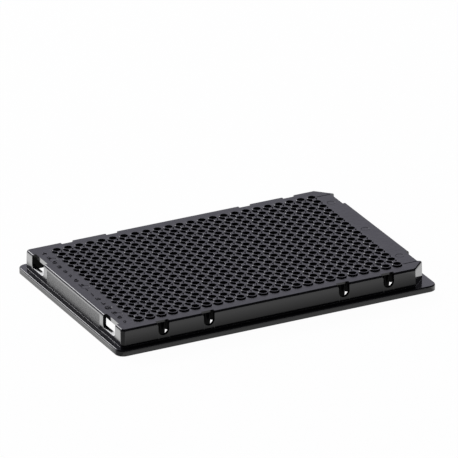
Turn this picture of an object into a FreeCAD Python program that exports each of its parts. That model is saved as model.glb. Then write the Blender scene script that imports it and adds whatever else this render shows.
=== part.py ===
import FreeCAD, Part
import math
import os

# A 384-well PCR plate: one moulded piece with a skirt, a deck and a grid of thin tapered wells.
# Millimetres. The origin is the centre of the footprint on the surface that the plate stands on.
# +X runs along the numbered columns, +Y towards row A, +Z up.

os.makedirs("parts", exist_ok=True)
Vector = FreeCAD.Vector

# Footprint and levels
plate_length = 127.76
plate_width = 85.48
plate_height = 9.6
rim_height = 0.5
deck_thickness = 0.8
wall = 1.3
deck_top = plate_height - rim_height
deck_underside = deck_top - deck_thickness

# Base flange
flange_height = 2.3
flange_ledge = 2.4
flange_corner_radius = 3.18
flange_edge_radius = 0.6

# Skirt between the flange and the deck
skirt_draft = math.radians(1.0)
skirt_corner_radius = 1.6
skirt_edge_radius = 0.8
corner_cut = 5.6

# Well grid
rows = 16
columns = 24
pitch = 4.5
# The real wells are round. Each is drawn with this many flat sides, because there are so many.
well_sides = 6
bore_radius = 1.475
bore_tip_radius = 0.75
bore_depth = 8.3
tube_wall = 0.35
tube_tip_wall = 0.4
rim_wall = 0.27
rim_foot_wall = 0.45
rim_foot = deck_top - deck_thickness * 0.4
rib_width = 1.4

# Round-bottomed slots in the long walls, centred between wells
slot_width = 4.3
slot_floor = 4.0
slot_columns_from_middle = (6, 10)
slot_notch_width = 5.0
side_cut_back = 1.9

# Windows and the grip pads between them in the short walls
window_length = 9.8
window_middle = 29.5
window_floor = 4.2
window_corner_radius = 1.3
end_cut_back = 1.65
pad_length = 44.0
pad_top = 8.0
pad_lean = 0.5

# Round ejector marks in the end margins of the deck
mark_radius = 1.5
mark_depth = 0.2
mark_inset = 7.5
mark_rows_apart = 6

skirt_length = plate_length - 2 * flange_ledge
skirt_width = plate_width - 2 * flange_ledge
spare = 1.0


def outline(length, width, z, corners):
    """Closed wire about the Z axis. Corners run near left, near right, far right, far left, each
    a kind and a size: a round of that radius or a straight cut of that leg."""
    signs = [(-1, -1), (1, -1), (1, 1), (-1, 1)]
    ends = []
    for index, ((sx, sy), (kind, size)) in enumerate(zip(signs, corners)):
        on_x = Vector(sx * (length / 2 - size), sy * width / 2, z)
        on_y = Vector(sx * length / 2, sy * (width / 2 - size), z)
        start, end = (on_y, on_x) if index % 2 == 0 else (on_x, on_y)
        ends.append((start, end, kind, size, sx, sy))
    edges = []
    for index, (start, end, kind, size, sx, sy) in enumerate(ends):
        if kind == "round":
            reach = size * (1 - math.sqrt(0.5))
            middle = Vector(sx * (length / 2 - reach), sy * (width / 2 - reach), z)
            edges.append(Part.Arc(start, middle, end).toShape())
        else:
            edges.append(Part.makeLine(start, end))
        edges.append(Part.makeLine(end, ends[(index + 1) % 4][0]))
    return Part.Wire(edges)


def skirt_outline(inset, z):
    """The skirt's outline, this far inside its outer face and drawn in by the draft at this height."""
    inwards = inset + (z - flange_height) * math.tan(skirt_draft)
    round_corner = ("round", max(skirt_corner_radius - inset, 0.4))
    cut_corner = ("cut", corner_cut - inwards * (2 - math.sqrt(2)))
    corners = [round_corner, cut_corner, cut_corner, round_corner]
    return outline(skirt_length - 2 * inwards, skirt_width - 2 * inwards, z, corners)


def flange_outline(inset, z):
    """The flange's outline, this far inside the plate's footprint."""
    corners = [("round", flange_corner_radius - inset)] * 4
    return outline(plate_length - 2 * inset, plate_width - 2 * inset, z, corners)


def edges_at(shape, z):
    """The edges that lie wholly at one height."""
    return [e for e in shape.Edges if abs(e.BoundBox.ZMin - z) < 1e-6 and abs(e.BoundBox.ZMax - z) < 1e-6]


def flange():
    """The flat base flange with its rounded upper edge."""
    prism = Part.Face(flange_outline(0, 0)).extrude(Vector(0, 0, flange_height))
    return prism.makeFillet(flange_edge_radius, edges_at(prism, flange_height))


def skirt():
    """The drafted skirt and deck as one block, with the deck's edge rounded over."""
    block = Part.makeLoft([skirt_outline(0, 0), skirt_outline(0, deck_top)], True, True)
    return block.makeFillet(skirt_edge_radius, edges_at(block, deck_top))


def grip_pad(side):
    """The leaning pad in the middle of a short wall: flush at its top, proud at its foot."""
    face = skirt_length / 2
    lean_in = (pad_top - flange_height) * math.tan(skirt_draft)
    corners = [
        Vector(side * (face - wall), -pad_length / 2, flange_height / 2),
        Vector(side * (face + pad_lean), -pad_length / 2, flange_height / 2),
        Vector(side * (face + pad_lean), -pad_length / 2, flange_height),
        Vector(side * (face - lean_in), -pad_length / 2, pad_top),
        Vector(side * (face - wall), -pad_length / 2, pad_top),
    ]
    profile = Part.Face(Part.makePolygon(corners + corners[:1]))
    return profile.extrude(Vector(0, pad_length, 0))


def hollow():
    """The space under the deck, which follows the skirt and opens out again inside the flange."""
    upper = Part.makeLoft([skirt_outline(wall, -spare), skirt_outline(wall, deck_underside)], True, True)
    flange_roof = flange_height - wall
    lower = Part.Face(flange_outline(wall, -spare)).extrude(Vector(0, 0, spare + flange_roof))
    return upper.fuse(lower)


def side_slot(x, side):
    """Cutter for one slot in a long wall: a round floor, straight sides and a wider notch in the deck."""
    back = skirt_width / 2 - side_cut_back
    radius = slot_width / 2
    centre = slot_floor + radius
    top = plate_height + spare
    left, right = x - radius, x + radius
    edges = [
        Part.makeLine(Vector(right, 0, centre), Vector(right, 0, top)),
        Part.makeLine(Vector(right, 0, top), Vector(left, 0, top)),
        Part.makeLine(Vector(left, 0, top), Vector(left, 0, centre)),
        Part.Arc(Vector(left, 0, centre), Vector(x, 0, slot_floor), Vector(right, 0, centre)).toShape(),
    ]
    reach = flange_ledge + side_cut_back
    slot = Part.Face(Part.Wire(edges)).extrude(Vector(0, reach, 0))
    notch = Part.makeBox(slot_notch_width, reach, top, Vector(x - slot_notch_width / 2, 0, deck_underside))
    cutter = slot.fuse(notch)
    cutter.translate(Vector(0, back, 0))
    return cutter if side > 0 else cutter.mirror(Vector(0, 0, 0), Vector(0, 1, 0))


def end_window(y, side):
    """Cutter for one window in a short wall, open at the top, with rounded lower corners."""
    back = skirt_length / 2 - end_cut_back
    reach = flange_ledge + end_cut_back
    height = plate_height + spare - window_floor
    box = Part.makeBox(reach, window_length, height, Vector(back, y - window_length / 2, window_floor))
    floor_edges = [e for e in edges_at(box, window_floor) if e.BoundBox.XLength > e.BoundBox.YLength]
    cutter = box.makeFillet(window_corner_radius, floor_edges)
    return cutter if side > 0 else cutter.mirror(Vector(0, 0, 0), Vector(1, 0, 0))


def sided_ring(radius, z):
    """Corners of a level polygon of the wells' side count, as large in area as the circle of this radius."""
    step = 2 * math.pi / well_sides
    corner_radius = radius * math.sqrt(step / math.sin(step))
    turns = [step * (k + 0.5) for k in range(well_sides)]
    return [Vector(corner_radius * math.cos(a), corner_radius * math.sin(a), z) for a in turns]


def flat_face(corners):
    """The flat face inside these corners."""
    return Part.Face(Part.makePolygon(corners + corners[:1]))


def sided_solid(rings):
    """The closed solid whose flat sides join these rings of corners, from the lowest to the highest."""
    faces = [flat_face(rings[0]), flat_face(rings[-1])]
    for low, high in zip(rings, rings[1:]):
        for k in range(well_sides):
            after = (k + 1) % well_sides
            faces.append(flat_face([low[k], low[after], high[after], high[k]]))
    skin = Part.makeShell(faces)
    skin.sewShape()
    return Part.Solid(skin)


def bore_radius_at(z):
    """The bore's radius at a height: it narrows evenly from the rim to the tip."""
    share = (plate_height - z) / bore_depth
    return bore_radius + (bore_tip_radius - bore_radius) * share


def well_body():
    """One well before it is bored: the tube below the deck and the raised rim above it."""
    tip = plate_height - bore_depth - tube_tip_wall
    root = deck_top - deck_thickness * 0.6
    rim_slope = (rim_foot_wall - rim_wall) / rim_height
    sections = [
        sided_ring(bore_radius_at(tip) + tube_wall, tip),
        sided_ring(bore_radius_at(root) + tube_wall, root),
        sided_ring(bore_radius + rim_wall + rim_slope * (plate_height - rim_foot), rim_foot),
        sided_ring(bore_radius + rim_wall, plate_height),
    ]
    return sided_solid(sections)


def well_bore():
    """Cutter for one well's inside, run on past the rim."""
    floor = plate_height - bore_depth
    mouth = plate_height + spare
    return sided_solid([sided_ring(bore_radius_at(floor), floor), sided_ring(bore_radius_at(mouth), mouth)])


def over_grid(shape):
    """A copy of a shape at every well."""
    first = Vector(-(columns - 1) * pitch / 2, (rows - 1) * pitch / 2, 0)
    places = [first + Vector(c * pitch, -r * pitch, 0) for r in range(rows) for c in range(columns)]
    return [shape.translated(place) for place in places]


def ribs():
    """The flat ribs on the deck, one to a column, that join each rim to the next from row A to row P."""
    length = (rows - 1) * pitch
    height = plate_height - rim_foot
    starts = [(column - (columns - 1) / 2) * pitch - rib_width / 2 for column in range(columns)]
    return [Part.makeBox(rib_width, length, height, Vector(x, -length / 2, rim_foot)) for x in starts]


def ejector_marks():
    """Cutters for the shallow round marks in both end margins."""
    cutters = []
    for side in (-1, 1):
        for step in (-1, 0, 1):
            x = side * (plate_length / 2 - mark_inset)
            y = step * mark_rows_apart * pitch
            cutters.append(Part.makeCylinder(mark_radius, spare, Vector(x, y, deck_top - mark_depth)))
    return cutters


def plate():
    """The whole plate as one solid."""
    both = (-1, 1)
    pads = [grip_pad(side) for side in both]
    shell = skirt().fuse([flange()] + pads).cut(hollow())
    slot_places = [end * k * pitch for k in slot_columns_from_middle for end in both]
    slots = [side_slot(x, side) for x in slot_places for side in both]
    windows = [end_window(end * window_middle, side) for end in both for side in both]
    shell = shell.cut(slots + windows + ejector_marks())
    with_wells = shell.fuse(over_grid(well_body()) + ribs())
    return with_wells.cut(over_grid(well_bore()))


plate().exportStep("parts/plate.step")
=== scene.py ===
import math

import bmesh
import bpy
import numpy as np
from mathutils import Matrix, Vector


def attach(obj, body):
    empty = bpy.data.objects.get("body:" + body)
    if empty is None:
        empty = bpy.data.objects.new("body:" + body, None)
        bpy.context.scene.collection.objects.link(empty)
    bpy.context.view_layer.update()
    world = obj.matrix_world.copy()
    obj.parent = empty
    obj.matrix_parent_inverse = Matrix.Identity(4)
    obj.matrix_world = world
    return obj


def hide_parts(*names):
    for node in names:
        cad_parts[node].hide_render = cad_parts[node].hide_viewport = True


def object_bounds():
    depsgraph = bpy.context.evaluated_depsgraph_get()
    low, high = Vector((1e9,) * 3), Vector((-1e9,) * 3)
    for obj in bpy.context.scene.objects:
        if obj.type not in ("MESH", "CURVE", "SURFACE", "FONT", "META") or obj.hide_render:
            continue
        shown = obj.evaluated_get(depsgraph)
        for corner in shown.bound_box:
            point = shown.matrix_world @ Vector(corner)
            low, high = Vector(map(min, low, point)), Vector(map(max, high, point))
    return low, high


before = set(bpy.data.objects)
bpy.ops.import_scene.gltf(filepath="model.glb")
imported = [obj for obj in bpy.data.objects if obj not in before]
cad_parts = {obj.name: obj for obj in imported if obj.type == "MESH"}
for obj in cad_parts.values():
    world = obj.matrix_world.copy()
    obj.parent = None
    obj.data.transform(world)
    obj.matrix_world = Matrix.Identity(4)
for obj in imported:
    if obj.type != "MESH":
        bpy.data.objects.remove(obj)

bl_info = {
    "name": "PCR Plate",
    "version": (1, 0, 0),
    "blender": (4, 5, 0),
    "location": "3D View > Sidebar > PCR Plate",
    "description": "Builds the visible surfaces of a 384-well PCR plate and its studio",
    "category": "Object",
}

MM = 0.001
CAD_BOX = [[float(c) for c in corner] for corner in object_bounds()]
CAD_LOW, CAD_HIGH = CAD_BOX
# Sides of the circles drawn round a well
DRAWN_STEPS = 12
# Points on a rounded or cut corner, and heights on the flange's, the foot's and the deck's rounded edges
CORNER_STEPS = 7
FLANGE_STEPS = 5
FOOT_STEPS = 4
EDGE_STEPS = 6
# Two lines this close count as one
TOUCH = 0.01 * MM
# A font's size over the height of its capital letters
FONT_SCALE = 1.35
# The grain of the deck, the wells and the letters
FINE_GRAIN = {"grain_size": 0.3 * MM, "grain_depth": 0.001 * MM}


def length(name, description, millimetres):
    """A size property that is stored in metres and given here in millimetres."""
    return bpy.props.FloatProperty(
        name=name, description=description, default=millimetres * MM, unit="LENGTH", precision=5
    )


def number(name, description, value):
    """A plain number property."""
    return bpy.props.FloatProperty(name=name, description=description, default=value)


def colour(name, description, value):
    """A linear colour property."""
    return bpy.props.FloatVectorProperty(
        name=name, description=description, default=value, size=3, subtype="COLOR", min=0, max=1
    )


class PlateSizes(bpy.types.PropertyGroup):
    """Sizes of the plate's walls, flange and deck."""

    rim_height: length("Rim height", "Rise of the well rims above the deck", 0.5)
    deck_thickness: length("Deck thickness", "Thickness of the deck", 0.8)
    wall: length("Wall", "Thickness of the skirt and flange", 1.3)
    flange_height: length("Flange height", "Height of the base flange", 2.3)
    flange_ledge: length("Flange ledge", "Width of the flange outside the skirt", 2.4)
    flange_corner: length("Flange corner", "Radius of the flange's corners", 3.18)
    flange_round: length("Flange round", "Radius of the flange's upper edge", 0.55)
    foot_round: length("Foot round", "Radius where the skirt meets the flange", 0.15)
    base_edge: length("Base edge", "Small bevel round the plate's foot", 0.12)
    draft: number("Draft", "Slope of the skirt, as run over rise", math.tan(math.radians(1.0)))
    skirt_corner: length("Skirt corner", "Radius of the skirt's two round corners", 1.6)
    inner_corner: length("Inner corner", "Smallest radius of those corners inside the skirt", 0.4)
    corner_cut: length("Corner cut", "Leg of the skirt's two cut corners", 5.6)
    skirt_round: length("Skirt round", "Radius of the deck's outer edge", 0.8)
    pad_length: length("Pad length", "Length of the grip pads in the end walls", 44.0)
    pad_top: length("Pad top", "Height of the grip pads' upper edge", 8.0)
    pad_lean: length("Pad lean", "How far the pads stand out at their foot", 0.06)
    pad_end: length("Pad end", "Half the length over which a pad's ends rise", 0.1)
    slot_width: length("Slot width", "Width of the slots in the long walls", 4.3)
    slot_floor: length("Slot floor", "Height of the slots' round floor", 4.0)
    slot_notch: length("Slot notch", "Width of the slots where they cut the deck", 5.0)
    slot_near: length("Inner slot", "Distance of the inner slots from the middle", 27.0)
    slot_far: length("Outer slot", "Distance of the outer slots from the middle", 45.0)
    window_length: length("Window length", "Length of the windows in the end walls", 9.8)
    window_middle: length("Window middle", "Distance of the windows from the middle", 29.5)
    window_floor: length("Window floor", "Height of the windows' floor", 4.2)
    window_corner: length("Window corner", "Radius of the windows' lower corners", 1.3)
    sill_rise: length("Sill rise", "How far the windows' sills rise inwards", 0.6)
    lip_foot: length("Lip foot", "Height of the lower edge of the lip under the deck's ends", 7.4)
    lip_wall: length("Lip wall", "Thickness of that lip", 0.9)
    side_cut_back: length("Side cut back", "How far the slots cut into the deck's long sides", 1.9)
    end_cut_back: length("End cut back", "How far the windows cut into the deck's ends", 1.65)
    mark_radius: length("Mark radius", "Radius of the ejector marks", 1.5)
    mark_inset: length("Mark inset", "Distance of the marks from the plate's ends", 7.5)
    mark_spacing: length("Mark spacing", "Distance between neighbouring marks", 27.0)
    mark_depth: length("Mark depth", "Depth of the ejector marks", 0.2)
    mark_edge: length("Mark edge", "Width of the marks' sloping edge", 0.35)
    dimple_x: length("Dimple X", "Place of the injection dimple along the plate", -57.0)
    dimple_y: length("Dimple Y", "Place of the injection dimple across the plate", -20.0)
    dimple_radius: length("Dimple radius", "Radius of the injection dimple", 1.2)
    dimple_depth: length("Dimple depth", "Depth of the injection dimple", 0.3)
    dimple_edge: length("Dimple edge", "Width of the dimple's sloping edge", 0.84)
    letter_height: length("Letter height", "Height of the row letters", 1.8)
    letter_inset: length("Letter inset", "Distance of the letters from the plate's end", 6.9)
    letter_rise: length("Letter rise", "Thickness of the letters", 0.25)
    letter_sink: length("Letter sink", "How far the letters' feet lie in the deck", 0.01)


class WellSizes(bpy.types.PropertyGroup):
    """Sizes of one well and of the grid that repeats it."""

    rows: bpy.props.IntProperty(name="Rows", description="Wells along the short side", default=16)
    columns: bpy.props.IntProperty(name="Columns", description="Wells along the long side", default=24)
    pitch: length("Pitch", "Distance between neighbouring wells", 4.5)
    bore: length("Bore radius", "Radius of a well's mouth", 1.475)
    bore_tip: length("Bore tip radius", "Radius of a well's floor", 0.75)
    depth: length("Depth", "Depth of a well below its rim", 8.3)
    tube_wall: length("Tube wall", "Wall of a well's tube", 0.35)
    tip_wall: length("Tip wall", "Thickness under a well's floor", 0.4)
    rim_top: length("Rim top", "Width of a rim's flat top", 0.3)
    rim_wall: length("Rim wall", "Width of a rim under its outer bevel", 0.5)
    rim_foot: length("Rim foot", "Width of a rim's foot", 0.52)
    rim_bevel: length("Rim bevel", "Height of a rim's outer bevel", 0.14)
    rib_width: length("Rib width", "Width of the ribs that join the rims of a column", 1.4)
    rib_round: length("Rib round", "Rounding of a rib's edges", 0.15)
    rib_sink: length("Rib sink", "How far the ribs lie under the rims' tops", 0.03)
    rib_foot: length("Rib foot", "How far the ribs' feet lie in the deck", 0.1)
    rib_end: length("Rib end", "Distance of the ribs' ends from the bores", 0.21)
    hole: length("Deck hole radius", "Radius of the deck's holes, inside the wells' walls", 1.6)


class PlateColours(bpy.types.PropertyGroup):
    """Colours and finish of the moulded plastic."""

    body: colour("Body", "Colour of the moulded plastic", (0.010, 0.010, 0.012))
    # The letters are the body's own plastic; their darker colour is painted shade that makes them read dark
    letters: colour("Letters", "Colour of the row letters", (0.006, 0.006, 0.007))
    wall_gloss: number("Wall roughness", "Roughness of the skirt and the flange", 0.13)
    well_gloss: number("Well roughness", "Roughness of the deck and rims between the wells", 0.2)
    margin_gloss: number("Margin roughness", "Roughness of the deck's plain margin", 0.3)
    pad_gloss: number("Pad roughness", "Roughness of the grip pads", 0.48)


class StudioSettings(bpy.types.PropertyGroup):
    """Camera, floor and lights."""

    azimuth: number("Azimuth", "Direction of view round the plate, in degrees", -26.382)
    elevation: number("Elevation", "Height of the view, in degrees", 23.633)
    roll: number("Roll", "Turn of the picture, in degrees", -0.381)
    distance: length("Distance", "Distance of the camera", 2930.8)
    lens: number("Lens", "Focal length in millimetres on a 36 mm sensor", 637.55)
    aim: bpy.props.FloatVectorProperty(
        name="Aim", description="Point that the camera looks at", default=(0.00418, 0.00630, 0.01712), size=3,
        subtype="TRANSLATION", unit="LENGTH", precision=5,
    )
    # The floor's brightness to reflections is painted light and shade: a painted pool of light to the left,
    # painted shade close to the plate, and a painted shadow under it
    floor_painted_light_left: number("Floor left", "Brightness of the floor to the left, as reflections see it", 3.3)
    floor_painted_shade_foot: number("Floor foot", "Brightness of the floor close to the left end", 1.35)
    floor_painted_shadow_under: number("Floor under", "Brightness of the floor under the plate", 0.1)
    floor_corner: number("Floor corner", "Brightness of the floor off the near left corner", 0.45)
    floor_front: number("Floor front", "Brightness of the floor in front", 0.95)
    floor_right: number("Floor right", "Brightness of the floor to the right", 1.65)
    floor_size: length("Floor size", "Width of the floor", 4000.0)
    back_wall: number("Back wall", "Brightness of the wall behind", 0.85)
    softbox: number("Softbox", "Brightness of the softbox high behind", 9.0)
    ambient: number("Ambient", "Brightness of the rest of the room", 0.06)


PROPERTY_GROUPS = {
    "plate_sizes": PlateSizes,
    "well_sizes": WellSizes,
    "plate_colours": PlateColours,
    "studio_settings": StudioSettings,
}


class Signal:
    """One output socket of a shader tree, with arithmetic that adds Math nodes."""

    def __init__(self, shader, socket):
        self.shader = shader
        self.socket = socket

    def math(self, operation, *values):
        """A Math node whose first input is this signal."""
        inputs = dict(enumerate((self, *values)))
        return self.shader.node("ShaderNodeMath", {"operation": operation}, inputs)

    def __add__(self, other):
        return self.math("ADD", other)

    def __radd__(self, other):
        return self.math("ADD", other)

    def __sub__(self, other):
        return self.math("SUBTRACT", other)

    def __rsub__(self, other):
        return self.math("MULTIPLY", -1.0).math("ADD", other)

    def __mul__(self, other):
        return self.math("MULTIPLY", other)

    def __truediv__(self, other):
        return self.math("DIVIDE", other)


class Shader:
    """A material's or the world's node tree, built from the surface backwards."""

    def __init__(self, owner):
        owner.use_nodes = True
        self.tree = owner.node_tree
        self.tree.nodes.clear()

    def node(self, kind, settings=None, values=None, output=0):
        """Adds a node, applies its settings, then sets or links its input sockets."""
        made = self.tree.nodes.new(kind)
        for name, value in (settings or {}).items():
            setattr(made, name, value)
        for name, value in (values or {}).items():
            if isinstance(value, Signal):
                self.tree.links.new(value.socket, made.inputs[name])
            else:
                made.inputs[name].default_value = value
        return None if output is None else Signal(self, made.outputs[output])

    def coordinates(self, kind="Object"):
        """The named output of a Texture Coordinate node."""
        return self.node("ShaderNodeTexCoord", output=kind)

    def place(self):
        """How far along and across the plate a point of a piece lies, in metres."""
        split = self.node("ShaderNodeSeparateXYZ", values={"Vector": self.coordinates()})
        return [Signal(self, split.socket.node.outputs[axis]) for axis in "XY"]

    def ramp(self, value, start, end, low=0.0, high=1.0):
        """A value that goes evenly from low to high as the given one goes from start to end."""
        limits = {"From Min": start, "From Max": end, "To Min": low, "To Max": high}
        return self.node("ShaderNodeMapRange", values={"Value": value, **limits})

    def sunk(self, across, along, radius, edge):
        """1 within this radius of a centre, falling smoothly to 0 over the edge's width outside it."""
        distance = (across * across + along * along).math("SQRT")
        limits = {"From Min": radius + edge / 2, "From Max": radius - edge / 2}
        settings = {"interpolation_type": "SMOOTHSTEP"}
        return self.node("ShaderNodeMapRange", settings, {"Value": distance, **limits})

    def noise(self, size, detail=3.0):
        """Noise from 0 to 1 whose grains are about this size in metres."""
        values = {"Vector": self.coordinates(), "Scale": 1 / size, "Detail": detail}
        return self.node("ShaderNodeTexNoise", values=values, output="Fac")

    def bump(self, height, distance):
        """A normal that follows this height, where 1 is this distance in metres."""
        return self.node("ShaderNodeBump", values={"Height": height, "Distance": distance, "Strength": 1.0})

    def finish(self, surface, kind="ShaderNodeOutputMaterial"):
        """Links the last shader to the output."""
        self.node(kind, values={"Surface": surface}, output=None)


def moulded_plastic(name, base, roughness, grain_size, grain_depth, relief=None):
    """Black moulded plastic: a slow change of gloss, a fine grain on its face, and a relief where one is
    given as a function that returns heights in metres."""
    material = bpy.data.materials.new(name)
    shader = Shader(material)
    patch_size = 9 * MM
    unevenness = 0.3
    patches = shader.noise(patch_size)
    height = shader.noise(grain_size, 2.0) * grain_depth
    if relief:
        height = height + relief(shader)
    values = {
        "Base Color": (*base, 1.0),
        "Roughness": patches * (roughness * unevenness) + roughness * (1 - unevenness / 2),
        "IOR": 1.5,
        "Normal": shader.bump(height / MM, MM),
    }
    shader.finish(shader.node("ShaderNodeBsdfPrincipled", values=values))
    return material


def margin_relief(shader):
    """Heights of what is moulded into the deck's margin: round ejector marks in both ends, and the dimple
    that the plastic was injected through. Each is sunk where the distance from its centre is less than its
    radius."""
    sizes = bpy.context.scene.plate_sizes
    x, y = shader.place()
    row = (y / sizes.mark_spacing).math("ROUND").math("MAXIMUM", -1.0).math("MINIMUM", 1.0)
    off_line = x.math("ABSOLUTE") - (CAD_HIGH[0] - sizes.mark_inset)
    off_row = y - row * sizes.mark_spacing
    marks = shader.sunk(off_line, off_row, sizes.mark_radius, sizes.mark_edge)
    along, across = x - sizes.dimple_x, y - sizes.dimple_y
    dimple = shader.sunk(along, across, sizes.dimple_radius, sizes.dimple_edge)
    return marks * -sizes.mark_depth + dimple * -sizes.dimple_depth


def grid_faces(across, along, close_across=False, close_along=True):
    """Quads of a grid of points numbered row by row, as an array of four point numbers each."""
    i = np.arange(across if close_across else across - 1)
    j = np.arange(along if close_along else along - 1)
    i, j = np.meshgrid(i, j, indexing="ij")
    next_i = (i + 1) % across
    next_j = (j + 1) % along
    return np.stack([i * along + j, next_i * along + j, next_i * along + next_j, i * along + next_j], axis=-1)


def without_doubles(points, faces):
    """The same faces with points that lie together made one, and without faces that collapse."""
    keys = np.round(points / (0.002 * MM)).astype(np.int64)
    kept, place = np.unique(keys, axis=0, return_index=True, return_inverse=True)[1:]
    place = place.reshape(-1)
    tidy = []
    for face in faces:
        ring = place[face]
        ring = ring[ring != np.roll(ring, 1)]
        if len(ring) > 2:
            tidy.append(ring.tolist())
    return points[kept], tidy


def make_piece(name, points, faces, material, sharp_degrees):
    """A closed mesh piece that rides on the plate, smooth except across sharp edges."""
    points, faces = without_doubles(points, faces)
    mesh = bpy.data.meshes.new(name)
    mesh.from_pydata(points.tolist(), [], faces)
    shell = bmesh.new()
    shell.from_mesh(mesh)
    bmesh.ops.recalc_face_normals(shell, faces=shell.faces)
    shell.to_mesh(mesh)
    shell.free()
    return place_piece(name, mesh, material, sharp_degrees)


def place_piece(name, mesh, material, sharp_degrees):
    """Shades a mesh and puts it in the scene as a piece that stands for the plate's solid. Where a flat face
    meets a rounding, the flat face keeps its normal."""
    mesh.materials.append(material)
    mesh.polygons.foreach_set("use_smooth", [True] * len(mesh.polygons))
    mesh.update()
    mesh.set_sharp_from_angle(angle=math.radians(sharp_degrees))
    piece = bpy.data.objects.new(name, mesh)
    flat_first = piece.modifiers.new("flat_faces_first", "WEIGHTED_NORMAL")
    flat_first.keep_sharp = True
    bpy.context.scene.collection.objects.link(piece)
    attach(piece, "root")
    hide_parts("plate")
    return piece


def share_finishes(piece, shape, margin, pad):
    """Gives the deck's margin and the grip pads their own finishes. A face belongs to the margin when its
    middle is level with the deck, and to a pad when it lies on an end wall between the pad's edges."""
    sizes = shape.sizes
    mesh = piece.data
    end_wall_depth = 0.3 * MM
    middle = np.empty(len(mesh.polygons) * 3)
    mesh.polygons.foreach_get("center", middle)
    x, y, z = np.abs(middle.reshape(-1, 3)).T
    on_margin = z > shape.deck_top - TOUCH
    high = (z > sizes.flange_height + sizes.foot_round) & (z < sizes.pad_top)
    outside = x > shape.half_x - sizes.flange_ledge - end_wall_depth
    on_pad = high & outside & (y < sizes.pad_length / 2)
    for material in (margin, pad):
        mesh.materials.append(material)
    mesh.polygons.foreach_set("material_index", (on_margin + 2 * on_pad).astype(np.int32))


def arc_points(centre, radius, start):
    """Points on a quarter circle: the centre plus the radius times cosine and sine."""
    turn = start + np.linspace(0, math.pi / 2, CORNER_STEPS)
    return centre + radius * np.stack([np.cos(turn), np.sin(turn)], axis=-1)


def line_points(start, end):
    """Points evenly spaced on a straight line."""
    share = np.linspace(0, 1, CORNER_STEPS)[:, None]
    return start * (1 - share) + end * share


def outline(half_x, half_y, left_corner, right_corner, right_is_cut, front_marks, end_marks):
    """One closed outline, anticlockwise from the left end of the front. Each side holds its marks, which are
    distances from its middle, between its two ends. Corners are quarter circles or straight cuts."""
    along_x = np.concatenate([[-(half_x - left_corner)], front_marks, [half_x - right_corner]])
    right_y = np.concatenate([[-(half_y - right_corner)], end_marks, [half_y - right_corner]])
    left_y = np.concatenate([[-(half_y - left_corner)], end_marks, [half_y - left_corner]])
    front = np.stack([along_x, np.full(along_x.shape, -half_y)], axis=-1)
    right = np.stack([np.full(right_y.shape, half_x), right_y], axis=-1)
    back = front[::-1] * [1, -1]
    left = np.stack([np.full(left_y.shape, -half_x), left_y], axis=-1)[::-1]
    centre = np.array([half_x - right_corner, half_y - right_corner])
    left_centre = np.array([-(half_x - left_corner), half_y - left_corner])
    if right_is_cut:
        near_right = line_points(front[-1], right[0])
        far_right = line_points(right[-1], back[0])
    else:
        near_right = arc_points(centre * [1, -1], right_corner, -math.pi / 2)
        far_right = arc_points(centre, right_corner, 0)
    far_left = arc_points(left_centre, left_corner, math.pi / 2)
    near_left = arc_points(left_centre * [1, -1], left_corner, math.pi)
    parts = []
    for side, corner in zip((front, right, back, left), (near_right, far_right, far_left, near_left)):
        parts += [side, corner[1:-1]]
    return np.concatenate(parts)


def opening_edge(half, corner):
    """The lower edge of an opening from side to side: places across it and rises above its floor. Each lower
    corner is a quarter circle: place and rise are its radius times one minus cosine, and one minus sine."""
    turn = np.linspace(0, math.pi / 2, CORNER_STEPS)
    place = -half + corner * (1 - np.cos(turn))
    rise = corner * (1 - np.sin(turn))
    return np.concatenate([place, -place[::-1]]), np.concatenate([rise, rise[::-1]])


def mirrored(places, middles):
    """These places round each middle, and round its mirror image, in order."""
    one_side = np.concatenate([middle + places for middle in middles])
    return np.concatenate([-one_side[::-1], one_side])


def rounding(steps):
    """Shares of a quarter round, from upright to level: one minus cosine, and sine."""
    turn = np.linspace(0, math.pi / 2, steps)
    return list(zip(1 - np.cos(turn), np.sin(turn)))


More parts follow.
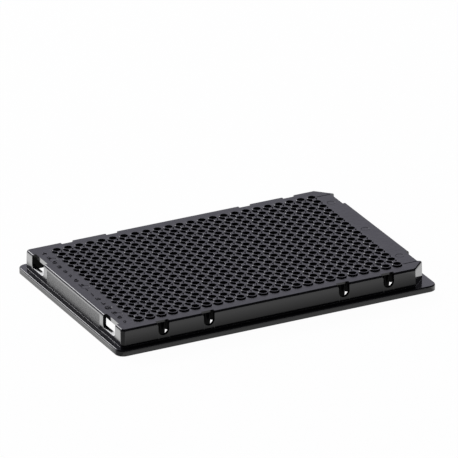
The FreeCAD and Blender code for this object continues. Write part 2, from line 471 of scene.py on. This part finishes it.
class ShellShape:
    """Rings of points round the flange, the skirt and the deck. Every ring has the same number of points, and
    the points of one number lie on one upright line wherever an opening cuts the wall."""

    def __init__(self, sizes, wells):
        self.sizes = sizes
        self.half_x = (CAD_HIGH[0] - CAD_LOW[0]) / 2
        self.half_y = (CAD_HIGH[1] - CAD_LOW[1]) / 2
        self.deck_top = CAD_HIGH[2] - sizes.rim_height
        self.underside = self.deck_top - sizes.deck_thickness
        self.field = np.array([wells.columns, wells.rows]) * wells.pitch / 2
        slots = [sizes.slot_near, sizes.slot_far]
        across, self.slot_rise = opening_edge(sizes.slot_width / 2, sizes.slot_width / 2)
        self.slot_marks = mirrored(across, slots)
        self.notch_marks = mirrored(across * sizes.slot_notch / sizes.slot_width, slots)
        across, self.window_rise = opening_edge(sizes.window_length / 2, sizes.window_corner)
        window_marks = mirrored(across, [sizes.window_middle])
        pad_edge = sizes.pad_length / 2 + np.array([-1, 1]) * sizes.pad_end
        self.end_marks = np.sort(np.concatenate([window_marks, pad_edge, -pad_edge]))

    def flange(self, inset, z):
        """A ring round the flange, this far inside the footprint."""
        corner = self.sizes.flange_corner - inset
        half = (self.half_x - inset, self.half_y - inset)
        return self.raised(outline(*half, corner, corner, False, self.slot_marks, self.end_marks), z)

    def skirt(self, inset, z, notched=False):
        """A ring round the skirt, this far inside its face. The draft draws it in as it rises. Between the
        grip pads' ends it stands out by the pads' lean, which fades evenly from their foot to their top."""
        sizes = self.sizes
        rise = np.maximum(z - sizes.flange_height, 0)
        inwards = inset + np.mean(rise) * sizes.draft
        half_x = self.half_x - sizes.flange_ledge - inwards
        half_y = self.half_y - sizes.flange_ledge - inwards
        left = max(sizes.skirt_corner - inset, sizes.inner_corner)
        right = sizes.corner_cut - inwards * (2 - math.sqrt(2))
        marks = self.notch_marks if notched else self.slot_marks
        ring = outline(half_x, half_y, left, right, True, marks, self.end_marks)
        if inset <= 0:
            lean = sizes.pad_lean * np.clip(1 - rise / (sizes.pad_top - sizes.flange_height), 0, 1)
            on_pad = (np.abs(ring[:, 0]) > half_x - TOUCH) & (np.abs(ring[:, 1]) < sizes.pad_length / 2)
            ring[:, 0] += np.sign(ring[:, 0]) * lean * on_pad
        return self.raised(ring, z)

    def cut_back(self, z, inset=0):
        """A ring on the deck along the line that slots and windows cut back to, or this far inside it at the
        plate's two ends."""
        sizes = self.sizes
        half_x = self.half_x - sizes.flange_ledge - sizes.end_cut_back - inset
        half_y = self.half_y - sizes.flange_ledge - sizes.side_cut_back
        right = sizes.corner_cut - sizes.side_cut_back * (2 - math.sqrt(2))
        ring = outline(half_x, half_y, sizes.skirt_corner, right, True, self.notch_marks, self.end_marks)
        return self.raised(ring, z)

    def lip_heights(self):
        """Heights of the deck's lower edge round the plate: lower at the two ends, where it has a lip."""
        ring = self.cut_back(0)
        at_end = np.abs(ring[:, 0]) > ring[:, 0].max() - TOUCH
        return np.where(at_end, self.sizes.lip_foot, self.underside)

    def well_field(self, z):
        """A ring on the rectangle of the wells' cells: each point of the skirt moved straight in to it."""
        return self.raised(np.clip(self.cut_back(z)[:, :2], -self.field, self.field), z)

    def opening_floor(self, sill_rise=0):
        """Heights of the openings' lower edges round the skirt. Between openings they are level with the feet
        of the openings' sides. The windows' floors stand at least this far above their lowest height."""
        sizes = self.sizes
        slots = np.tile(sizes.slot_floor + self.slot_rise, 4)
        windows = sizes.window_floor + np.maximum(self.window_rise, sill_rise)
        ends = np.full(self.end_marks.shape, sizes.window_floor + sizes.window_corner)
        ends[: len(windows)] = windows
        ends[-len(windows):] = windows
        corner = np.full(CORNER_STEPS - 2, ends[0])
        side = np.concatenate([slots[:1], slots, slots[:1], corner])
        end = np.concatenate([ends[:1], ends, ends[:1], corner])
        return np.concatenate([side, end, side, end])

    def in_opening(self):
        """True for each stretch of a ring, from one point to the next, that lies inside an opening."""
        sizes = self.sizes
        ring = self.skirt(self.sizes.wall, self.underside)[:, :2]
        middle = np.abs(ring + np.roll(ring, -1, axis=0)) / 2
        on_side = middle[:, 1] > ring[:, 1].max() - TOUCH
        on_end = middle[:, 0] > ring[:, 0].max() - TOUCH
        slot = np.zeros(len(ring), bool)
        for place in (sizes.slot_near, sizes.slot_far):
            slot |= np.abs(middle[:, 0] - place) < sizes.slot_width / 2
        window = np.abs(middle[:, 1] - sizes.window_middle) < sizes.window_length / 2
        return (on_side & slot) | (on_end & window)

    @staticmethod
    def raised(ring, z):
        """A flat ring of points, lifted to a height."""
        return np.concatenate([ring[:, :2], np.broadcast_to(z, len(ring))[:, None]], axis=1)


def shell_surface(shape):
    """The skirt, flange and deck margin as one closed surface: a profile carried round the plate. Its rings
    run up the outside, over the deck to the wells' field, back under it and down the inside. In an opening
    the wall ends at the opening's floor and the deck at its cut-back line, and upright faces close the
    opening's two sides."""
    sizes = shape.sizes
    rings = [shape.flange(sizes.base_edge, 0), shape.flange(0, sizes.base_edge)]
    for inwards, up in rounding(FLANGE_STEPS):
        z = sizes.flange_height - sizes.flange_round * (1 - up)
        rings.append(shape.flange(sizes.flange_round * inwards, z))
    for up, inwards in rounding(FOOT_STEPS):
        z = sizes.flange_height + sizes.foot_round * up
        rings.append(shape.skirt(-sizes.foot_round * (1 - inwards), z))
    outer_floor = len(rings)
    rings.append(shape.skirt(0, shape.opening_floor()))
    rings.append(shape.skirt(0, sizes.pad_top))
    for inwards, up in rounding(EDGE_STEPS):
        z = shape.deck_top - sizes.skirt_round * (1 - up)
        rings.append(shape.skirt(sizes.skirt_round * inwards, z, notched=True))
    lip_top = len(rings)
    rings.append(shape.cut_back(shape.deck_top))
    rings.append(shape.well_field(shape.deck_top))
    rings.append(shape.well_field(shape.underside))
    rings.append(shape.cut_back(shape.underside, sizes.lip_wall))
    rings.append(shape.cut_back(shape.lip_heights(), sizes.lip_wall))
    lip_under = len(rings)
    rings.append(shape.cut_back(shape.lip_heights()))
    rings.append(shape.skirt(sizes.wall, shape.underside, notched=True))
    rings.append(shape.skirt(sizes.wall, sizes.pad_top))
    inner_floor = len(rings)
    rings.append(shape.skirt(sizes.wall, shape.opening_floor(sizes.sill_rise)))
    roof = sizes.flange_height - sizes.wall
    rings.append(shape.skirt(sizes.wall, roof))
    rings.append(shape.flange(sizes.wall, roof))
    rings.append(shape.flange(sizes.wall, 0))

    count = len(rings[0])
    quads = grid_faces(len(rings), count, close_across=True)
    in_opening = shape.in_opening()
    stays = np.ones(quads.shape[:2], bool)
    stays[outer_floor:lip_top, in_opening] = False
    stays[lip_under:inner_floor, in_opening] = False
    faces = list(quads[stays])
    point = np.arange(len(rings) * count).reshape(len(rings), count)
    after = np.roll(point, -1, axis=1)
    for row, other in ((outer_floor, inner_floor), (lip_top, lip_under)):
        bridge = np.stack([point[row], after[row], after[other], point[other]], axis=-1)
        faces += list(bridge[in_opening])
    wall_top = outer_floor + 2
    for station in np.flatnonzero(in_opening != np.roll(in_opening, 1)):
        column = point[:, station]
        faces.append(column[[outer_floor, outer_floor + 1, inner_floor - 1, inner_floor]])
        faces.append(column[[outer_floor + 1, wall_top, inner_floor - 2, inner_floor - 1]])
        faces.append(np.concatenate([column[wall_top: lip_top + 1], column[lip_under: inner_floor - 1]]))
    return np.concatenate(rings), faces


def well_centres(wells):
    """Centres of all wells, as an array of x and y."""
    x = (np.arange(wells.columns) - (wells.columns - 1) / 2) * wells.pitch
    y = (np.arange(wells.rows) - (wells.rows - 1) / 2) * wells.pitch
    return np.stack(np.meshgrid(x, y, indexing="ij"), axis=-1).reshape(-1, 2)


def circle_steps():
    """Cosine and sine of the corners of the circles that are drawn round the wells. They start half a step
    round, so that four of them lie on the cells' diagonals."""
    turn = (np.arange(DRAWN_STEPS) + 0.5) * 2 * math.pi / DRAWN_STEPS
    return np.stack([np.cos(turn), np.sin(turn)], axis=-1)


def deck_surface(shape, wells):
    """The deck between the wells as square cells. Each cell's rings are its square and its hole, above and
    below: a point of the square is a point of the unit circle divided by its larger coordinate."""
    circle = circle_steps()
    square = circle / np.abs(circle).max(axis=1)[:, None] * wells.pitch / 2
    rings = []
    for ring, z in (
        (square, shape.deck_top),
        (circle * wells.hole, shape.deck_top),
        (circle * wells.hole, shape.underside),
        (square, shape.underside),
    ):
        rings.append(shape.raised(ring, z))
    cell = np.stack(rings)
    centres = well_centres(wells)
    shift = np.concatenate([centres, np.zeros((len(centres), 1))], axis=1)
    points = cell[None] + shift[:, None, None]
    quads = grid_faces(4, DRAWN_STEPS, close_across=True)
    number = np.arange(len(centres))[:, None, None, None] * 4 * DRAWN_STEPS
    faces = quads[None] + number
    edge = points[:, 0, :, :2]
    following = np.roll(edge, -1, axis=1)
    outside = np.zeros(edge.shape[:2], bool)
    for axis in (0, 1):
        limit = shape.field[axis] - TOUCH
        outside |= (np.abs(edge[:, :, axis]) > limit) & (np.abs(following[:, :, axis]) > limit)
    faces = np.concatenate([faces[:, :3].reshape(-1, 4), faces[:, 3][outside]])
    return points.reshape(-1, 3), faces


def well_profile(shape, wells):
    """Radius and height along a well's section, from its tip up the tube, over the rim and down the bore."""
    top = CAD_HIGH[2]
    floor = top - wells.depth
    slope = (wells.bore - wells.bore_tip) / wells.depth
    root = wells.bore - slope * (top - shape.underside) + wells.tube_wall
    return np.array([
        (wells.bore_tip + wells.tube_wall, floor - wells.tip_wall),
        (root, shape.underside),
        (wells.bore + wells.rim_foot, shape.deck_top),
        (wells.bore + wells.rim_wall, top - wells.rim_bevel),
        (wells.bore + wells.rim_top, top),
        (wells.bore, top),
        (wells.bore_tip, floor),
    ])


def wells_surface(shape, wells):
    """All wells: the profile turned about each centre, so x and y are the radius times cosine and sine. A
    flat face closes the tip below and another the bore's floor."""
    profile = well_profile(shape, wells)
    circle = circle_steps()
    centres = well_centres(wells)
    flat = profile[None, :, None, :1] * circle[None, None] + centres[:, None, None]
    height = np.broadcast_to(profile[None, :, None, 1:], flat.shape[:3] + (1,))
    points = np.concatenate([flat, height], axis=-1).reshape(-1, 3)
    first = np.arange(len(centres)) * len(profile) * DRAWN_STEPS
    quads = grid_faces(len(profile), DRAWN_STEPS)[None] + first[:, None, None, None]
    tips = first[:, None] + np.arange(DRAWN_STEPS)
    floors = tips + (len(profile) - 1) * DRAWN_STEPS
    return points, [*quads.reshape(-1, 4), *tips, *floors]


def ribs_surface(shape, wells):
    """The ribs that join the rims of each column: a low bar with rounded upper edges between each pair of
    neighbours, with its section's places across and heights carried from one rim's wall to the next."""
    half = wells.rib_width / 2
    top = CAD_HIGH[2] - wells.rib_sink
    foot = shape.deck_top - wells.rib_foot
    inner = half - wells.rib_round
    across = np.array([-half, -half, -inner, inner, half, half])
    height = np.array([foot, top - wells.rib_round, top, top, top - wells.rib_round, foot])
    reach = wells.pitch / 2 - wells.bore - wells.rib_end
    corners = len(across)
    bar = np.stack([np.tile(across, 2), np.repeat([-reach, reach], corners), np.tile(height, 2)], axis=-1)
    centres = well_centres(wells).reshape(wells.columns, wells.rows, 2)[:, :-1].reshape(-1, 2)
    shift = np.concatenate([centres + [0, wells.pitch / 2], np.zeros((len(centres), 1))], axis=1)
    first = np.arange(len(centres)) * 2 * corners
    sides = grid_faces(2, corners)[None] + first[:, None, None, None]
    near = first[:, None] + np.arange(corners)
    return (bar[None] + shift[:, None]).reshape(-1, 3), [*sides.reshape(-1, 4), *near, *(near + corners)]


def letters_mesh(shape, wells, sizes):
    """The row letters as one mesh of thin raised letters, each beside its row."""
    joined = bmesh.new()
    x = CAD_LOW[0] + sizes.letter_inset
    z = shape.deck_top + sizes.letter_rise / 2 - sizes.letter_sink
    for row in range(wells.rows):
        text = bpy.data.curves.new("row_letter", "FONT")
        text.body = chr(ord("A") + row)
        text.align_x = "CENTER"
        text.align_y = "CENTER"
        text.size = sizes.letter_height * FONT_SCALE
        text.extrude = sizes.letter_rise / 2
        text.resolution_u = 3
        holder = bpy.data.objects.new("row_letter", text)
        mesh = bpy.data.meshes.new_from_object(holder)
        y = ((wells.rows - 1) / 2 - row) * wells.pitch
        mesh.transform(Matrix.Translation((x, y, z)))
        joined.from_mesh(mesh)
        bpy.data.objects.remove(holder)
        bpy.data.curves.remove(text)
        bpy.data.meshes.remove(mesh)
    bmesh.ops.remove_doubles(joined, verts=joined.verts, dist=0.005 * MM)
    mesh = bpy.data.meshes.new("row_letters")
    joined.to_mesh(mesh)
    joined.free()
    return mesh


class PLATE_OT_shell(bpy.types.Operator):
    """Builds the skirt, flange and deck"""

    bl_idname = "plate.shell"
    bl_label = "Skirt, Flange and Deck"

    def execute(self, context):
        wells, colours = context.scene.well_sizes, context.scene.plate_colours
        shape = ShellShape(context.scene.plate_sizes, wells)
        body = colours.body
        waves = {"grain_size": 1.6 * MM, "grain_depth": 0.11 * MM, "relief": margin_relief}
        wall_grain = {"grain_size": 0.3 * MM, "grain_depth": 0.0006 * MM}
        pad_grain = {"grain_size": 0.2 * MM, "grain_depth": 0.003 * MM}
        smooth = moulded_plastic("wall_plastic", body, colours.wall_gloss, **wall_grain)
        margin = moulded_plastic("margin_plastic", body, colours.margin_gloss, **waves)
        pad = moulded_plastic("pad_plastic", body, colours.pad_gloss, **pad_grain)
        between = moulded_plastic("deck_plastic", body, colours.well_gloss, **FINE_GRAIN)
        shell = make_piece("skirt_and_flange", *shell_surface(shape), smooth, 30)
        share_finishes(shell, shape, margin, pad)
        make_piece("deck", *deck_surface(shape, wells), between, 30)
        return {"FINISHED"}


class PLATE_OT_wells(bpy.types.Operator):
    """Builds the wells with their raised rims and tapered tubes"""

    bl_idname = "plate.wells"
    bl_label = "Wells"

    def execute(self, context):
        wells, colours = context.scene.well_sizes, context.scene.plate_colours
        shape = ShellShape(context.scene.plate_sizes, wells)
        plastic = moulded_plastic("well_plastic", colours.body, colours.well_gloss, **FINE_GRAIN)
        make_piece("wells", *wells_surface(shape, wells), plastic, 32)
        make_piece("ribs", *ribs_surface(shape, wells), plastic, 50)
        return {"FINISHED"}


class PLATE_OT_letters(bpy.types.Operator):
    """Builds the letters beside the rows"""

    bl_idname = "plate.letters"
    bl_label = "Row Letters"

    def execute(self, context):
        sizes, wells = context.scene.plate_sizes, context.scene.well_sizes
        colours = context.scene.plate_colours
        shape = ShellShape(sizes, wells)
        # The letters' darker colour than the body is painted shade
        plastic = moulded_plastic("letter_plastic_painted_shade", colours.letters, colours.wall_gloss, **FINE_GRAIN)
        place_piece("row_letters", letters_mesh(shape, wells, sizes), plastic, 30)
        return {"FINISHED"}


def floor_material(studio):
    """A pale floor that the camera sees as white. To reflections it glows with painted light and shade: a
    painted pool of light beside the left end, dimmer off the near left corner and in front, painted shade
    close to the plate, and brighter again to the right. Under the plate, which covers it out to its ends and
    sides, a painted shadow makes it dark."""
    material = bpy.data.materials.new("floor_white")
    shader = Shader(material)
    seen = shader.node("ShaderNodeLightPath", output="Is Camera Ray")
    mirrored_in = shader.node("ShaderNodeLightPath", output="Is Glossy Ray")
    refracted = shader.node("ShaderNodeLightPath", output="Is Transmission Ray")
    camera_white = 1.06
    camera_share = 0.92
    end, side = 63.8 * MM, 42.6 * MM
    blend = 0.8 * MM
    cover = 1.3 * MM
    corner_slope = 1.4
    corner_blend = 3 * MM
    corner_line = -0.0415 - 0.0614 * corner_slope
    x, y = shader.place()
    to_left = shader.ramp(x, -end + blend, -end)
    to_right = shader.ramp(x, end - blend, end)
    # Painted shade close to the left end, rising to a painted pool of light farther out
    beside = shader.ramp(x, -end - 1.6 * MM, -end - 3 * MM, studio.floor_painted_shade_foot, studio.floor_painted_light_left)
    off_corner = y + x * corner_slope
    behind_corner = shader.ramp(off_corner, corner_line - corner_blend, corner_line + corner_blend)
    left = studio.floor_corner + behind_corner * (beside - studio.floor_corner)
    # In front, painted shade close to the plate, brightening farther out
    front_painted_shade, brightest = studio.floor_front * 0.42, studio.floor_front * 1.25
    front = shader.ramp(y, -side - 4 * MM, -side - 14.4 * MM, front_painted_shade, brightest)
    at_flange = shader.ramp(y, -side - 4 * MM, -side - 3.6 * MM)
    front = front + at_flange * (studio.floor_front - front)
    painted_floor_light = front + to_left * (left - front)
    painted_floor_light = painted_floor_light - to_right * (front - studio.floor_right)
    # Under the plate, which covers the floor, reflections see a painted shadow
    beyond_ends = shader.ramp(x.math("ABSOLUTE"), end - cover, end)
    beyond_sides = shader.ramp(y.math("ABSOLUTE"), side - cover, side)
    open_floor = beyond_ends.math("MAXIMUM", beyond_sides)
    painted_floor_light = studio.floor_painted_shadow_under + open_floor * (painted_floor_light - studio.floor_painted_shadow_under)
    strength = seen * camera_white + refracted + mirrored_in * painted_floor_light
    light = shader.node("ShaderNodeEmission", values={"Strength": strength})
    paint = shader.node("ShaderNodeBsdfDiffuse", values={"Color": (0.8, 0.8, 0.8, 1)})
    share = seen * camera_share + mirrored_in + refracted
    shader.finish(shader.node("ShaderNodeMixShader", values={0: share, 1: paint, 2: light}))
    return material


def room_light(studio):
    """The room round the plate: white to the camera, and to reflections a pale wall behind that brightens
    upwards, with a dim line along its foot and a dim ceiling above."""
    world = bpy.data.worlds.new("studio_room")
    bpy.context.scene.world = world
    shader = Shader(world)
    seen = shader.node("ShaderNodeLightPath", output="Is Camera Ray")
    split = {"Vector": shader.coordinates("Generated")}
    backwards = shader.node("ShaderNodeSeparateXYZ", values=split, output="Y")
    upwards = shader.node("ShaderNodeSeparateXYZ", values=split, output="Z")
    behind = shader.ramp(backwards, 0.4, 0.6)
    above_foot = shader.ramp(upwards, 0.04, 0.12)
    below_ceiling = shader.ramp(upwards, 0.75, 0.6)
    brightness = shader.ramp(upwards, 0.1, 0.7, studio.back_wall * 0.5, studio.back_wall * 1.5)
    wall = behind * above_foot * below_ceiling * brightness + studio.ambient
    room = shader.node("ShaderNodeBackground", values={"Color": (0.88, 0.86, 1.0, 1.0), "Strength": wall})
    white = shader.node("ShaderNodeBackground", values={"Strength": 1.0, "Color": (1.0, 1.0, 1.0, 1.0)})
    light = shader.node("ShaderNodeMixShader", values={0: seen, 1: room, 2: white})
    shader.finish(light, "ShaderNodeOutputWorld")


def add_softbox(name, direction, distance, width, height, brightness):
    """A rectangular lamp that faces the plate. Its power is its brightness times its area times pi."""
    lamp = bpy.data.lights.new(name, "AREA")
    lamp.shape = "RECTANGLE"
    lamp.size = width
    lamp.size_y = height
    lamp.energy = brightness * math.pi * width * height
    holder = bpy.data.objects.new(name, lamp)
    place = Vector(direction).normalized() * distance
    holder.location = place
    holder.rotation_euler = place.to_track_quat("Z", "Y").to_euler()
    holder.visible_camera = False
    bpy.context.scene.collection.objects.link(holder)


def add_camera(studio):
    """The camera: turned by the elevation, azimuth and roll, and backed off from the aim by the distance."""
    camera = bpy.data.cameras.new("camera")
    camera.sensor_width = 36
    camera.lens = studio.lens
    camera.clip_end = 100
    turn = Matrix.Rotation(math.radians(studio.azimuth), 4, "Z")
    tilt = Matrix.Rotation(math.radians(90 - studio.elevation), 4, "X")
    roll = Matrix.Rotation(math.radians(studio.roll), 4, "Z")
    back_off = Matrix.Translation((0, 0, studio.distance))
    holder = bpy.data.objects.new("camera", camera)
    holder.matrix_world = Matrix.Translation(studio.aim) @ turn @ tilt @ roll @ back_off
    bpy.context.scene.collection.objects.link(holder)
    bpy.context.scene.camera = holder


class PLATE_OT_studio(bpy.types.Operator):
    """Builds the floor, the lights and the camera"""

    bl_idname = "plate.studio"
    bl_label = "Studio"

    def execute(self, context):
        studio = context.scene.studio_settings
        half = studio.floor_size / 2
        corners = [(-half, -half, 0), (half, -half, 0), (half, half, 0), (-half, half, 0)]
        mesh = bpy.data.meshes.new("floor")
        mesh.from_pydata(corners, [], [(0, 1, 2, 3)])
        mesh.materials.append(floor_material(studio))
        floor = bpy.data.objects.new("floor", mesh)
        context.scene.collection.objects.link(floor)
        room_light(studio)
        high_behind = {"direction": (-0.12, 0.82, 0.55), "distance": 1.5, "width": 0.45, "height": 0.3}
        add_softbox("softbox_behind", brightness=studio.softbox, **high_behind)
        add_camera(studio)
        context.scene.view_settings.view_transform = "Standard"
        return {"FINISHED"}


class PLATE_PT_panel(bpy.types.Panel):
    """Lists the steps that build the plate"""

    bl_idname = "PLATE_PT_panel"
    bl_label = "PCR Plate"
    bl_space_type = "VIEW_3D"
    bl_region_type = "UI"
    bl_category = "PCR Plate"

    def draw(self, context):
        for step in STEPS:
            self.layout.operator(step.bl_idname)
        for group in PROPERTY_GROUPS:
            for name in getattr(context.scene, group).bl_rna.properties.keys():
                if name not in ("rna_type", "name"):
                    self.layout.prop(getattr(context.scene, group), name)


STEPS = (PLATE_OT_shell, PLATE_OT_wells, PLATE_OT_letters, PLATE_OT_studio)


def register():
    """Registers the settings, the steps and the panel."""
    for group, kind in PROPERTY_GROUPS.items():
        bpy.utils.register_class(kind)
        setattr(bpy.types.Scene, group, bpy.props.PointerProperty(type=kind))
    for kind in (*STEPS, PLATE_PT_panel):
        bpy.utils.register_class(kind)


def unregister():
    """Takes back what register added."""
    for kind in (PLATE_PT_panel, *reversed(STEPS)):
        bpy.utils.unregister_class(kind)
    for group, kind in PROPERTY_GROUPS.items():
        delattr(bpy.types.Scene, group)
        bpy.utils.unregister_class(kind)


def main():
    """Builds the plate and the studio."""
    register()
    bpy.ops.plate.shell()
    bpy.ops.plate.wells()
    bpy.ops.plate.letters()
    bpy.ops.plate.studio()


if __name__ == "__main__":
    main()
